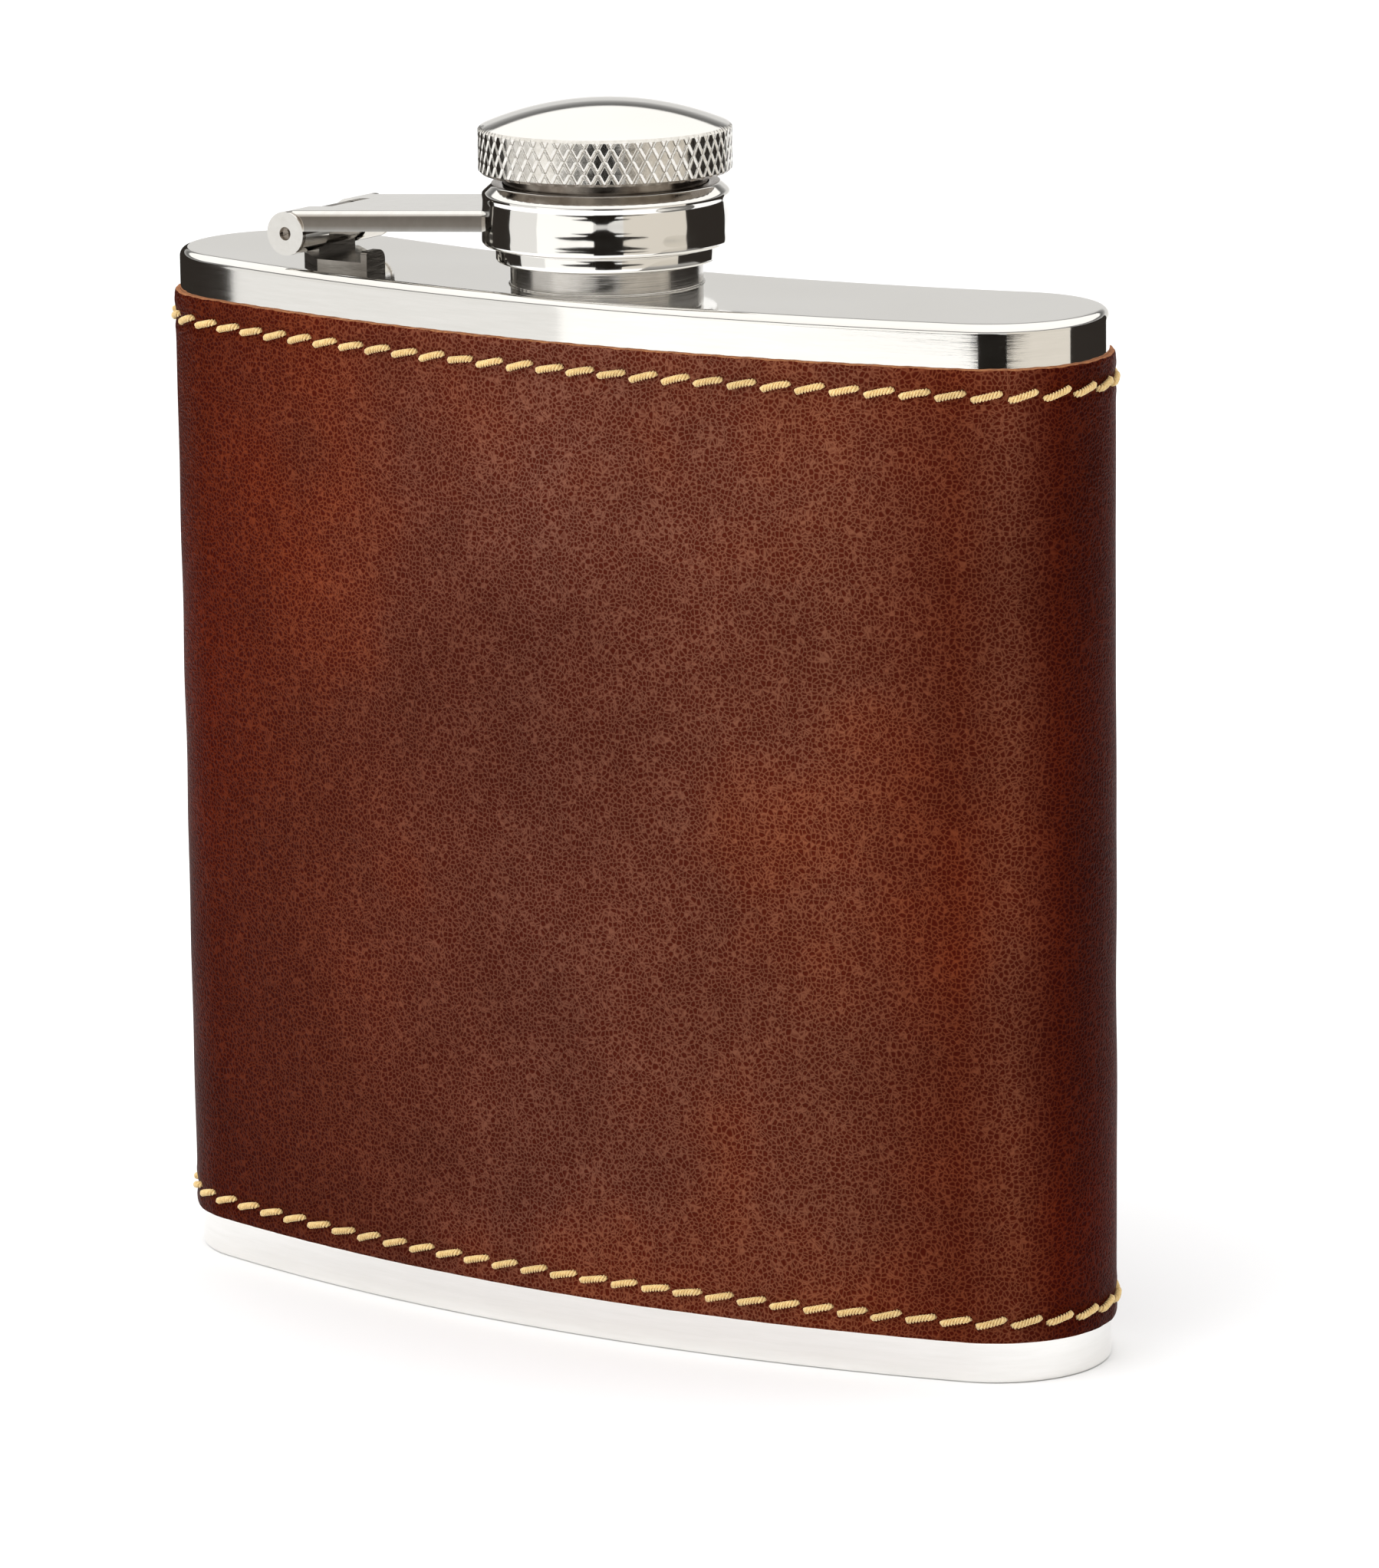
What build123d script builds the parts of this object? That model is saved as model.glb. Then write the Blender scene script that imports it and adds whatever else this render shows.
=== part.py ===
from build123d import *
import os
from math import atan2, cos, degrees, hypot, radians, sqrt

# Hip flask: a kidney-shaped polished steel flask in a leather wrap, with a captive screw cap
# on a hinged arm.  Millimetres.  +Z is up, -Y is the convex front, and the origin is on the
# surface that the flask stands on, at the middle of the base.

# ---- body: the outline is the leather's outer face, made of tangent arcs ----
# END_REACH is where the end arc alone would come to; the corner arcs cut it a little shorter
END_REACH = 47.5
DEPTH = 21.0
FRONT_RADIUS = 155.9
BACK_RADIUS = 145.2
END_RADIUS = 40.7
END_CENTRE_Y = 0.8
FRONT_CORNER = 10.35
BACK_CORNER = 10.1
LEATHER = 0.5
WALL = 0.5
HEIGHT = 91.7
PLATE = 0.8
TOP_EDGE = 0.75
BASE_EDGE = 0.35

# ---- leather wrap and its stitching ----
LEATHER_BOTTOM = 3.65
LEATHER_TOP = 88.0
SEAM_GAP = 0.3
STITCH_PITCH = 3.16
STITCH_LENGTH = 2.4
THREAD_RADIUS = 0.27
THREAD_SUNK = 0.1
STITCH_SLANT = 14.0
STITCH_ROUNDING = 0.9
TOP_ROW = LEATHER_TOP - 2.25
BOTTOM_ROW = LEATHER_BOTTOM + 1.85
SEAM_STITCH_LENGTH = 4.4
SEAM_STITCH_PITCH = 3.4
SEAM_STITCH_SLANT = 28.0

# ---- spout, on its own axis; its heights are above the top plate ----
SPOUT_X = 0.25
SPOUT_Y = 0.5
SPOUT_BORE = 5.8
SPOUT_ROOT = 6.6
SPOUT_CREST = 7.0
SPIGOT_RADIUS = 6.9
SPIGOT_DEPTH = 1.6
COLLAR_RADIUS = 8.36
COLLAR_HEIGHT = 1.95
SPOUT_HEIGHT = 8.5
SPOUT_EDGE = 0.35
COLLAR_EDGE = 0.2
SPOUT_THREAD_START = 2.7
THREAD_PITCH = 1.25
THREAD_TURNS = 4
CREST_START = 0.45
CREST_END = 0.6
WELD_BEAD = 0.4

# ---- cap ----
FLANGE_RADIUS = 9.6
FLANGE_EDGE = 0.25
FLANGE_BOTTOM = 2.05
FLANGE_TOP = 3.47
SLEEVE_RADIUS = 8.85
SLEEVE_BORE = 7.7
SLEEVE_ROOT = 8.1
SLEEVE_THREAD_START = 3.1
HEAD_RADIUS = 11.0
HEAD_BOTTOM = 9.74
HEAD_SHOULDER = 13.74
HEAD_WALL = 1.0
HEAD_CHAMFER = 0.25
DOME_RISE = 2.17
DOME_WALL = 0.7
GASKET_RADIUS = 7.6
GASKET_BOTTOM = 8.6

# ---- swivel ring ----
RING_RADIUS = 10.76
RING_BORE = 8.93
RING_BOTTOM = 3.52
RING_TOP = 8.8
RING_BEVEL = 0.85
RING_EDGE = 0.3

# ---- hinge: the pin lies along Y ----
HINGE_X = -29.3
HINGE_Z = 2.93
PIN_RADIUS = 0.6
PIN_CLEARANCE = 0.05
PIN_RECESS = 0.3
PIN_DIMPLE_RADIUS = 0.42
PIN_DIMPLE_DEPTH = 0.2
KNUCKLE_RADIUS = 1.93
KNUCKLE_HALF_WIDTH = 6.8
ARM_TOP_HALF_WIDTH = 6.3
ARM_FOOT_HALF_WIDTH = 6.7
ARM_SLOPE = 4.0
ARM_SIDE = 1.75
ARM_SHEET = 0.65
ARM_EDGE = 0.6
ARM_INNER_EDGE = 0.2
NOTCH_HALF_WIDTH = 2.85
NOTCH_REACH = 2.3
BARREL_RADIUS = 1.7
BARREL_HALF_WIDTH = 2.7
WEB_LEFT = -0.75
WEB_RIGHT = 0.65
FOOT_SHEET = 0.75
FOOT_LEFT = -1.0
FOOT_NEAR_LEFT = 2.6
FOOT_RIGHT = 8.0
FOOT_LIP = 0.4
FOOT_REACH = 5.7
FOOT_CORNER = 0.3
LUG_SHEET = 0.65
LUG_WIDTH = 2.75
LUG_HEIGHT = 1.75
LUG_NEAR_CORNER = 0.3
LUG_FAR_CORNER = 0.9

SPOUT_AXIS = Pos(SPOUT_X, SPOUT_Y, HEIGHT)


# ---- helpers ----
def circles_meet(ax, ay, ra, bx, by, rb):
    """The point at distance ra from a and rb from b that lies furthest along +X."""
    span = hypot(bx - ax, by - ay)
    along = (ra * ra - rb * rb + span * span) / (2 * span)
    aside = sqrt(ra * ra - along * along)
    ux = (bx - ax) / span
    uy = (by - ay) / span
    foot = (ax + along * ux, ay + along * uy)
    first = (foot[0] - aside * uy, foot[1] + aside * ux)
    second = (foot[0] + aside * uy, foot[1] - aside * ux)
    return max(first, second)


def toward(centre, other, radius):
    """The point on a circle about centre, in the direction of other."""
    span = hypot(other[0] - centre[0], other[1] - centre[1])
    step = radius / span
    return (centre[0] + step * (other[0] - centre[0]), centre[1] + step * (other[1] - centre[1]))


def arc(centre, radius, start, end):
    """The short arc from start to end about centre."""
    middle = ((start[0] + end[0]) / 2, (start[1] + end[1]) / 2)
    return Edge.make_three_point_arc(start, toward(centre, middle, radius), end)


def outline(inset):
    """The kidney outline, drawn in by inset from the leather's outer face, as one closed wire."""
    front_radius = FRONT_RADIUS - inset
    back_radius = BACK_RADIUS + inset
    end_radius = END_RADIUS - inset
    front_corner = FRONT_CORNER - inset
    back_corner = BACK_CORNER - inset
    front = (0, FRONT_RADIUS - DEPTH / 2)
    back = (0, BACK_RADIUS + DEPTH / 2)
    end = (END_REACH - END_RADIUS, END_CENTRE_Y)
    near = circles_meet(*front, front_radius - front_corner, *end, end_radius - front_corner)
    far = circles_meet(*back, back_radius + back_corner, *end, end_radius - back_corner)
    front_tangent = toward(front, near, front_radius)
    end_front = toward(end, near, end_radius)
    end_back = toward(end, far, end_radius)
    back_tangent = toward(back, far, back_radius)
    half = [
        arc(near, front_corner, front_tangent, end_front),
        arc(end, end_radius, end_front, end_back),
        arc(far, back_corner, end_back, back_tangent),
    ]
    front_mirror = (-front_tangent[0], front_tangent[1])
    back_mirror = (-back_tangent[0], back_tangent[1])
    across = [
        arc(front, front_radius, front_mirror, front_tangent),
        arc(back, back_radius, back_tangent, back_mirror),
    ]
    return Wire(half + across + [edge.mirror(Plane.YZ) for edge in half])


def prism(inset, bottom, top):
    return Pos(0, 0, bottom) * extrude(Face(outline(inset)), top - bottom)


def turned(points):
    """A solid of revolution about +Z from points (radius, height)."""
    profile = make_face(Polyline(*[(radius, 0, height) for radius, height in points], close=True))
    return revolve(profile, Axis.Z)


def circle_edges(solid, radius, height):
    """The circular edges of one radius at one height."""
    found = solid.edges().filter_by(GeomType.CIRCLE)
    return [e for e in found if abs(e.radius - radius) < 0.01 and abs(e.center().Z - height) < 0.01]


def ridges(start, root, crest):
    """The zigzag of thread ridges, from bottom to top, as (radius, height) points."""
    points = []
    for turn in range(THREAD_TURNS):
        low = start + turn * THREAD_PITCH
        flat_start = low + CREST_START * THREAD_PITCH
        flat_end = low + CREST_END * THREAD_PITCH
        points += [(root, low), (crest, flat_start), (crest, flat_end)]
    return points + [(root, start + THREAD_TURNS * THREAD_PITCH)]


# ---- the steel body ----
def body_wall():
    tube = prism(LEATHER, PLATE, HEIGHT - PLATE)
    return tube - prism(LEATHER + WALL, PLATE, HEIGHT - PLATE)


def top_plate():
    plate = prism(LEATHER, HEIGHT - PLATE, HEIGHT)
    rim = plate.edges().group_by(Axis.Z)[-1]
    plate = fillet(rim, TOP_EDGE)
    return plate - SPOUT_AXIS * Cylinder(SPIGOT_RADIUS, 4 * PLATE)


def base_plate():
    plate = prism(LEATHER, 0, PLATE)
    rim = plate.edges().group_by(Axis.Z)[0]
    return fillet(rim, BASE_EDGE)


def spout():
    outside = [(SPOUT_BORE, -SPIGOT_DEPTH), (SPIGOT_RADIUS, -SPIGOT_DEPTH), (SPIGOT_RADIUS, 0)]
    outside += [(COLLAR_RADIUS, 0), (COLLAR_RADIUS, COLLAR_HEIGHT), (SPOUT_ROOT, COLLAR_HEIGHT)]
    outside += ridges(SPOUT_THREAD_START, SPOUT_ROOT, SPOUT_CREST)
    outside += [(SPOUT_ROOT, SPOUT_HEIGHT), (SPOUT_BORE, SPOUT_HEIGHT)]
    solid = turned(outside)
    solid = fillet(circle_edges(solid, SPOUT_ROOT, SPOUT_HEIGHT), SPOUT_EDGE)
    solid = fillet(circle_edges(solid, COLLAR_RADIUS, COLLAR_HEIGHT), COLLAR_EDGE)
    return SPOUT_AXIS * solid


def spout_weld():
    bead = [(COLLAR_RADIUS, 0), (COLLAR_RADIUS + WELD_BEAD, 0), (COLLAR_RADIUS, WELD_BEAD)]
    return SPOUT_AXIS * turned(bead)


# ---- leather wrap and thread ----
def leather_wrap():
    sleeve = prism(0, LEATHER_BOTTOM, LEATHER_TOP) - prism(LEATHER, LEATHER_BOTTOM, LEATHER_TOP)
    gap = Pos(0, DEPTH / 2, HEIGHT / 2) * Box(SEAM_GAP, 4 * LEATHER, HEIGHT)
    return sleeve - gap


def stitch(length):
    """One straight stitch with rounded ends, along X."""
    bar = Rot(0, 90, 0) * Cylinder(THREAD_RADIUS, length)
    return fillet(bar.edges().filter_by(GeomType.CIRCLE), STITCH_ROUNDING * THREAD_RADIUS)


def stitch_row(height):
    """Slanted stitches all round the wrap, none across the back seam."""
    path = outline(THREAD_SUNK - THREAD_RADIUS)
    count = round(path.length / STITCH_PITCH)
    bar = stitch(STITCH_LENGTH)
    row = []
    for number in range(count):
        along = (number + 0.5) / count
        point = path.position_at(along)
        tangent = path.tangent_at(along)
        if point.Y > 0 and abs(point.X) < STITCH_LENGTH:
            continue
        heading = degrees(atan2(tangent.Y, tangent.X))
        row.append(Pos(point.X, point.Y, height) * Rot(0, 0, heading) * Rot(0, -STITCH_SLANT, 0) * bar)
    return Compound(children=row)


def back_seam_stitching():
    """Stitches that zigzag across the gap of the back seam."""
    bar = stitch(SEAM_STITCH_LENGTH)
    low = BOTTOM_ROW + SEAM_STITCH_PITCH
    count = int((TOP_ROW - SEAM_STITCH_PITCH - low) / SEAM_STITCH_PITCH) + 1
    depth = DEPTH / 2 + THREAD_RADIUS - THREAD_SUNK
    row = []
    for number in range(count):
        height = low + number * SEAM_STITCH_PITCH
        row.append(Pos(0, depth, height) * Rot(0, SEAM_STITCH_SLANT, 0) * bar)
    return Compound(children=row)


# ---- hinge bracket, on the top plate ----
def along_hinge(radius, half_width, centre_y=SPOUT_Y):
    return Pos(HINGE_X, centre_y, HEIGHT + HINGE_Z) * Rot(90, 0, 0) * Cylinder(radius, 2 * half_width)


def block(x_low, x_high, y_low, y_high, z_low, z_high):
    """A box from its limits; x is counted from the hinge pin and z from the top plate."""
    centre = Pos(HINGE_X + (x_low + x_high) / 2, (y_low + y_high) / 2, HEIGHT + (z_low + z_high) / 2)
    return centre * Box(x_high - x_low, y_high - y_low, z_high - z_low)


def hinge_bracket():
    """A flat foot with an upright tongue that holds the pin's barrel, and a small upright lug."""
    near = SPOUT_Y - FOOT_REACH
    lug_end = near + LUG_WIDTH
    tongue_low = SPOUT_Y - BARREL_HALF_WIDTH
    tongue_high = SPOUT_Y + BARREL_HALF_WIDTH
    corners = [(FOOT_LEFT, tongue_low), (FOOT_NEAR_LEFT, near), (FOOT_RIGHT, near)]
    corners += [(FOOT_RIGHT, lug_end)]
    corners += [(WEB_RIGHT + FOOT_LIP, tongue_high), (FOOT_LEFT, tongue_high)]
    sheet = make_face(Polyline(*corners, close=True))
    sheet = fillet(sheet.vertices(), FOOT_CORNER)
    foot = extrude(Pos(HINGE_X, 0, HEIGHT) * sheet, FOOT_SHEET)
    web = block(WEB_LEFT, WEB_RIGHT, tongue_low, tongue_high, FOOT_SHEET / 2, HINGE_Z)
    lug = block(FOOT_RIGHT - LUG_SHEET, FOOT_RIGHT, near, lug_end, 0, LUG_HEIGHT)
    top_edges = lug.edges().filter_by(Axis.X).group_by(Axis.Z)[-1].sort_by(Axis.Y)
    lug = fillet(top_edges[0], LUG_NEAR_CORNER)
    top_edges = lug.edges().filter_by(Axis.X).sort_by(Axis.Y)[-2:].sort_by(Axis.Z)
    lug = fillet(top_edges[-1], LUG_FAR_CORNER)
    bracket = foot + web + lug + along_hinge(BARREL_RADIUS, BARREL_HALF_WIDTH)
    return bracket - along_hinge(PIN_RADIUS + PIN_CLEARANCE, BARREL_HALF_WIDTH + 1)


# ---- arm, ring and pin ----
def arm_profile(top_half_width, foot_half_width, top, edge):
    """A closed trapezium with rounded upper corners."""
    foot = KNUCKLE_RADIUS - ARM_SIDE
    corners = [(-foot_half_width, foot), (foot_half_width, foot)]
    corners += [(top_half_width, top), (-top_half_width, top)]
    shape = make_face(Polyline(*corners, close=True))
    return fillet(shape.vertices().group_by(Axis.Y)[-1], edge)


def arm_channel():
    """The arm's sheet: a shallow channel with spreading sides, open below, from pin to spout axis."""
    shell = arm_profile(ARM_TOP_HALF_WIDTH, ARM_FOOT_HALF_WIDTH, KNUCKLE_RADIUS, ARM_EDGE)
    shell -= arm_profile(
        ARM_TOP_HALF_WIDTH - ARM_SHEET,
        ARM_FOOT_HALF_WIDTH - ARM_SHEET,
        KNUCKLE_RADIUS - ARM_SHEET,
        ARM_INNER_EDGE,
    )
    reach = (SPOUT_X - HINGE_X) / cos(radians(ARM_SLOPE))
    channel = extrude(Plane.YZ * shell, reach)
    return Pos(HINGE_X, SPOUT_Y, HEIGHT + HINGE_Z) * Rot(0, -ARM_SLOPE, 0) * channel


def hinge_arm():
    arm = arm_channel() + along_hinge(KNUCKLE_RADIUS, KNUCKLE_HALF_WIDTH)
    notch_low = SPOUT_Y - NOTCH_HALF_WIDTH
    notch_high = SPOUT_Y + NOTCH_HALF_WIDTH
    arm -= block(-2 * NOTCH_REACH, NOTCH_REACH, notch_low, notch_high, 0, 3 * HINGE_Z)
    arm -= along_hinge(PIN_RADIUS, KNUCKLE_HALF_WIDTH + 1)
    return arm - SPOUT_AXIS * Cylinder(RING_RADIUS, 4 * RING_TOP)


def swivel_ring():
    """The ring that turns on the cap's sleeve, bevelled above."""
    shoulder = RING_TOP - RING_BEVEL
    profile = [(RING_BORE, RING_BOTTOM), (RING_RADIUS, RING_BOTTOM), (RING_RADIUS, shoulder)]
    profile += [(RING_RADIUS - RING_BEVEL, RING_TOP), (RING_BORE, RING_TOP)]
    ring = turned(profile)
    rims = circle_edges(ring, RING_RADIUS, RING_BOTTOM) + circle_edges(ring, RING_RADIUS, shoulder)
    return SPOUT_AXIS * fillet(rims, RING_EDGE)


def hinge_pin():
    """The pin, a little shorter than the hinge, with a dimple in each end."""
    half_length = KNUCKLE_HALF_WIDTH - PIN_RECESS
    pin = along_hinge(PIN_RADIUS, half_length)
    for side in (-1, 1):
        dimple = Rot(90 * side, 0, 0) * Cone(0, PIN_DIMPLE_RADIUS, PIN_DIMPLE_DEPTH)
        depth = half_length - PIN_DIMPLE_DEPTH / 2
        pin -= Pos(HINGE_X, SPOUT_Y - side * depth, HEIGHT + HINGE_Z) * dimple
    return pin


# ---- cap ----
def cap_head():
    """The knurled rim with its shallow dome, hollow, open below where the sleeve is pressed in."""
    rim = HEAD_RADIUS - HEAD_CHAMFER
    apex = HEAD_SHOULDER + DOME_RISE
    sphere = (rim * rim + DOME_RISE * DOME_RISE) / (2 * DOME_RISE)
    inner_rim = HEAD_RADIUS - HEAD_WALL
    inner_sphere = sphere - DOME_WALL

    def dome(radius, ball):
        return (radius, 0, apex - sphere + sqrt(ball * ball - radius * radius))

    edge = [
        dome(inner_rim, inner_sphere),
        (inner_rim, 0, HEAD_BOTTOM + HEAD_WALL),
        (SLEEVE_RADIUS, 0, HEAD_BOTTOM + HEAD_WALL),
        (SLEEVE_RADIUS, 0, HEAD_BOTTOM),
        (rim, 0, HEAD_BOTTOM),
        (HEAD_RADIUS, 0, HEAD_BOTTOM + HEAD_CHAMFER),
        (HEAD_RADIUS, 0, HEAD_SHOULDER - HEAD_CHAMFER),
        dome(rim, sphere),
    ]
    outer = ThreePointArc(dome(rim, sphere), dome(rim / 2, sphere), dome(0, sphere))
    middle = Line(dome(0, sphere), dome(0, inner_sphere))
    inner = ThreePointArc(dome(0, inner_sphere), dome(rim / 2, inner_sphere), edge[0])
    profile = make_face(Polyline(*edge) + outer + middle + inner)
    return SPOUT_AXIS * revolve(profile, Axis.Z)


def cap_sleeve():
    """The threaded sleeve, with the lip that keeps the swivel ring on it."""
    web_bottom = HEAD_BOTTOM
    web_top = HEAD_BOTTOM + HEAD_WALL
    profile = [(SLEEVE_BORE, FLANGE_BOTTOM), (FLANGE_RADIUS, FLANGE_BOTTOM)]
    profile += [(FLANGE_RADIUS, FLANGE_TOP), (SLEEVE_RADIUS, FLANGE_TOP)]
    profile += [(SLEEVE_RADIUS, web_top), (0, web_top), (0, web_bottom), (SLEEVE_BORE, web_bottom)]
    grooves = ridges(SLEEVE_THREAD_START, SLEEVE_BORE, SLEEVE_ROOT)
    sleeve = turned(profile + grooves[::-1])
    rims = circle_edges(sleeve, FLANGE_RADIUS, FLANGE_BOTTOM)
    rims += circle_edges(sleeve, FLANGE_RADIUS, FLANGE_TOP)
    return SPOUT_AXIS * fillet(rims, FLANGE_EDGE)


def cap_gasket():
    thickness = HEAD_BOTTOM - GASKET_BOTTOM
    return SPOUT_AXIS * Pos(0, 0, GASKET_BOTTOM + thickness / 2) * Cylinder(GASKET_RADIUS, thickness)


NODES = {
    "body_wall": body_wall(),
    "top_plate": top_plate(),
    "base_plate": base_plate(),
    "spout": spout(),
    "spout_weld": spout_weld(),
    "hinge_bracket": hinge_bracket(),
    "leather_wrap": leather_wrap(),
    "top_stitching": stitch_row(TOP_ROW),
    "bottom_stitching": stitch_row(BOTTOM_ROW),
    "back_seam_stitching": back_seam_stitching(),
    "hinge_arm": hinge_arm(),
    "swivel_ring": swivel_ring(),
    "hinge_pin": hinge_pin(),
    "cap_head": cap_head(),
    "cap_sleeve": cap_sleeve(),
    "cap_gasket": cap_gasket(),
}

os.makedirs("parts", exist_ok=True)
for name, solid in NODES.items():
    export_step(solid, f"parts/{name}.step")
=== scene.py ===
from math import atan2, cos, pi, radians, sin, sqrt

import bpy
import numpy as np
from mathutils import Matrix, Vector

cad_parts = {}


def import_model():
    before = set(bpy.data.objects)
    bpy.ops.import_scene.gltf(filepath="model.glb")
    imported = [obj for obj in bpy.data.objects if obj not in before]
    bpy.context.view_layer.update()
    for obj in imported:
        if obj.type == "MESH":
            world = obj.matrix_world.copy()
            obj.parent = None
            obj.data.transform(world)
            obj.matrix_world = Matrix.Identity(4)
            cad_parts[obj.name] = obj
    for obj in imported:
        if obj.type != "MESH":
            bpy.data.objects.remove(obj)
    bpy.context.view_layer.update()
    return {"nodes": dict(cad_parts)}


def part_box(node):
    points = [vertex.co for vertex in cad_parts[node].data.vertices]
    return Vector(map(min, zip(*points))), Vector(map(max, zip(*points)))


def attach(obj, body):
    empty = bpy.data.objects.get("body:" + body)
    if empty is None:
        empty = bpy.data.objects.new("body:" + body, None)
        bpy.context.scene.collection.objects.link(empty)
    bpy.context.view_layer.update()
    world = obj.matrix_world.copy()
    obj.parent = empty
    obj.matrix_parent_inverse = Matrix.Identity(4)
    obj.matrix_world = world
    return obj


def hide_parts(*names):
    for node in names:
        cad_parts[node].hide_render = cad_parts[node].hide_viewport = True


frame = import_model()

# The looks of a leather-wrapped steel hip flask.  Lengths below are in millimetres, in the CAD
# frame, and every mesh is written in metres.
MM = 0.001

# ---- sizes that the frame gives ----
leather_low, leather_high = (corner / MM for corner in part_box("leather_wrap"))
plate_low, plate_high = (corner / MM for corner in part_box("top_plate"))
base_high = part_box("base_plate")[1] / MM
spout_low, spout_high = (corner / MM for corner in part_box("spout"))
ring_low, ring_high = (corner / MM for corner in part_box("swivel_ring"))
head_low, head_high = (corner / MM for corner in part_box("cap_head"))
sleeve_low, sleeve_high = (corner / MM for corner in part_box("cap_sleeve"))
weld_low, weld_high = (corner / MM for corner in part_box("spout_weld"))

LID = plate_high.z
SPOUT_X = (spout_low.x + spout_high.x) / 2
SPOUT_Y = (spout_low.y + spout_high.y) / 2
COLLAR_RADIUS = (spout_high.x - spout_low.x) / 2
RING_RADIUS = (ring_high.x - ring_low.x) / 2
HEAD_RADIUS = (head_high.x - head_low.x) / 2
FLANGE_RADIUS = (sleeve_high.x - sleeve_low.x) / 2

# ---- the kidney outline, as in the CAD source ----
DEPTH = 21.0
FRONT_RADIUS = 155.9
BACK_RADIUS = 145.2
END_RADIUS = 40.7
END_REACH = 47.5
END_CENTRE_Y = 0.8
FRONT_CORNER = 10.35
BACK_CORNER = 10.1
LEATHER = 0.5
WALL = 0.5
TOP_EDGE = 0.75
BASE_EDGE = 0.35
SEAM_GAP = 0.3

# ---- stitching ----
STITCH_PITCH = 3.16
STITCH_LENGTH = 2.5
STITCH_SLANT = 14.0
THREAD_RADIUS = 0.31
TOP_ROW = leather_high.z - 2.25
BOTTOM_ROW = leather_low.z + 1.85
SEAM_STITCH_PITCH = 3.4
SEAM_STITCH_LENGTH = 4.4
SEAM_STITCH_SLANT = 28.0

# ---- spout, sleeve and cap profiles, heights above the lid ----
SPOUT_BORE = 5.8
SPOUT_ROOT = 6.6
SPOUT_CREST = 7.0
SPIGOT_RADIUS = 6.9
COLLAR_HEIGHT = 1.95
SPOUT_THREAD = (2.6, 7.9)
SLEEVE_BORE = 7.7
SLEEVE_ROOT = 8.1
SLEEVE_RADIUS = 8.85
SLEEVE_THREAD = (2.9, 8.3)
THREAD_PITCH = 1.25
FLANGE_TOP = 3.47
RING_BORE = 8.93
RING_BEVEL = 0.85
HEAD_WALL = 1.0
HEAD_SHOULDER = 13.74
HEAD_CHAMFER = 0.25
FLANGE_EDGE = 0.25
COLLAR_EDGE = 0.2
RING_EDGE = 0.3
DOME_WALL = 0.7
KNURLS = 58
KNURL_RISE = 2.17
KNURL_DEPTH = 0.13
KNURL_GROOVE = 0.3

COLUMNS = 720
# the last rows of the leather's mesh, round its cut top edge and its inside
CUT_ROWS = 5
wave_dice = np.random.default_rng(7)


# ======================= outline =======================
def circles_meet(a, ra, b, rb):
    """The point at distance ra from a and rb from b that lies furthest along +X."""
    span = b - a
    length = np.hypot(*span)
    along = (ra * ra - rb * rb + length * length) / (2 * length)
    aside = sqrt(ra * ra - along * along)
    foot = a + span * (along / length)
    turn = np.array([-span[1], span[0]]) * (aside / length)
    return max(foot + turn, foot - turn, key=lambda p: p[0])


def kidney(inset, fine=900):
    """Points and outward normals of the closed outline, from the back seam round by +X."""
    front = np.array([0, FRONT_RADIUS - DEPTH / 2])
    back = np.array([0, BACK_RADIUS + DEPTH / 2])
    end = np.array([END_REACH - END_RADIUS, END_CENTRE_Y])
    near = circles_meet(front, FRONT_RADIUS - FRONT_CORNER, end, END_RADIUS - FRONT_CORNER)
    far = circles_meet(back, BACK_RADIUS + BACK_CORNER, end, END_RADIUS - BACK_CORNER)

    def heading(start, finish):
        return atan2(finish[1] - start[1], finish[0] - start[0])

    bend = heading(back, far)
    arcs = [
        (back, BACK_RADIUS + inset, -pi / 2, bend, -1),
        (far, BACK_CORNER - inset, bend + pi, heading(end, far), 1),
        (end, END_RADIUS - inset, heading(end, far), heading(end, near), 1),
        (near, FRONT_CORNER - inset, heading(end, near), heading(front, near), 1),
        (front, FRONT_RADIUS - inset, heading(front, near), -pi / 2, 1),
    ]
    points = []
    normals = []
    for centre, radius, start, finish, side in arcs:
        angle = np.linspace(start, finish, fine)[:-1]
        ray = np.stack([np.cos(angle), np.sin(angle)], 1)
        points.append(centre + radius * ray)
        normals.append(side * ray)
    points = np.concatenate(points + [[[0, inset - DEPTH / 2]]])
    normals = np.concatenate(normals + [[[0, -1]]])
    mirror = np.array([-1, 1])
    return (
        np.concatenate([points, points[-2::-1] * mirror]),
        np.concatenate([normals, normals[-2::-1] * mirror]),
    )


def spaced(points, normals, stations):
    """Points and unit normals at the given distances along the outline."""
    step = np.hypot(*np.diff(points, axis=0).T)
    length = np.concatenate([[0], np.cumsum(step)])
    place = np.stack([np.interp(stations, length, points[:, i]) for i in (0, 1)], 1)
    facing = np.stack([np.interp(stations, length, normals[:, i]) for i in (0, 1)], 1)
    return place, facing / np.hypot(*facing.T)[:, None]


OUTER, OUTER_NORMALS = kidney(0)
GIRTH = float(np.hypot(*np.diff(OUTER, axis=0).T).sum())
STITCHES = round(GIRTH / STITCH_PITCH)


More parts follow.
